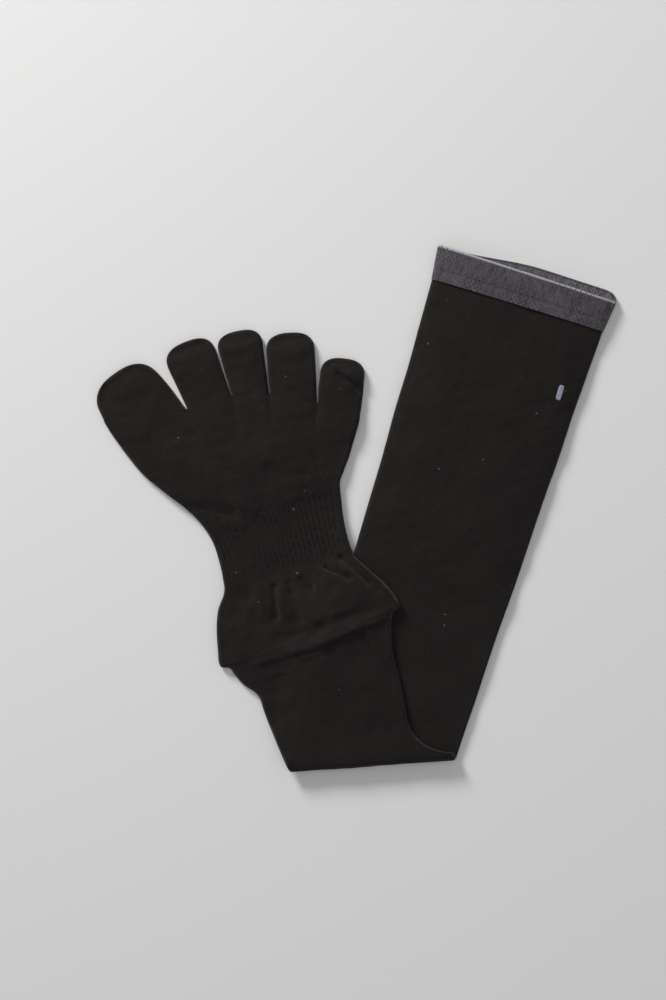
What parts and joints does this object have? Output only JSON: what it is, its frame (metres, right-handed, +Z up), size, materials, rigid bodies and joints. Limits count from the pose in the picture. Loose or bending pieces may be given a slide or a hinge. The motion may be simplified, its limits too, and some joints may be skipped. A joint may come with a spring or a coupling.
{
  "type": "toe sock",
  "caption": "Knee-high black knit toe sock with a grey ribbed cuff, folded over once and laid flat, with its foot lying across its leg.",
  "frame": {"origin": "middle of the sock's footprint on the surface that it lies on", "axes": "+Y along the leg from the fold to the cuff, +X across the leg to the right as seen from above, +Z up"},
  "size_m": [0.261, 0.3058, 0.0123],
  "materials": {
    "black_knit": "fine plain knit",
    "grey_welt": "heather grey rib"
  },
  "bodies": {
    "root": {"cuff": "grey_welt", "leg": "black_knit", "heel": "black_knit", "arch_band": "black_knit", "ball_of_foot": "black_knit", "big_toe": "black_knit", "second_toe": "black_knit", "third_toe": "black_knit", "fourth_toe": "black_knit", "little_toe": "black_knit"}
  },
  "joints": []
}
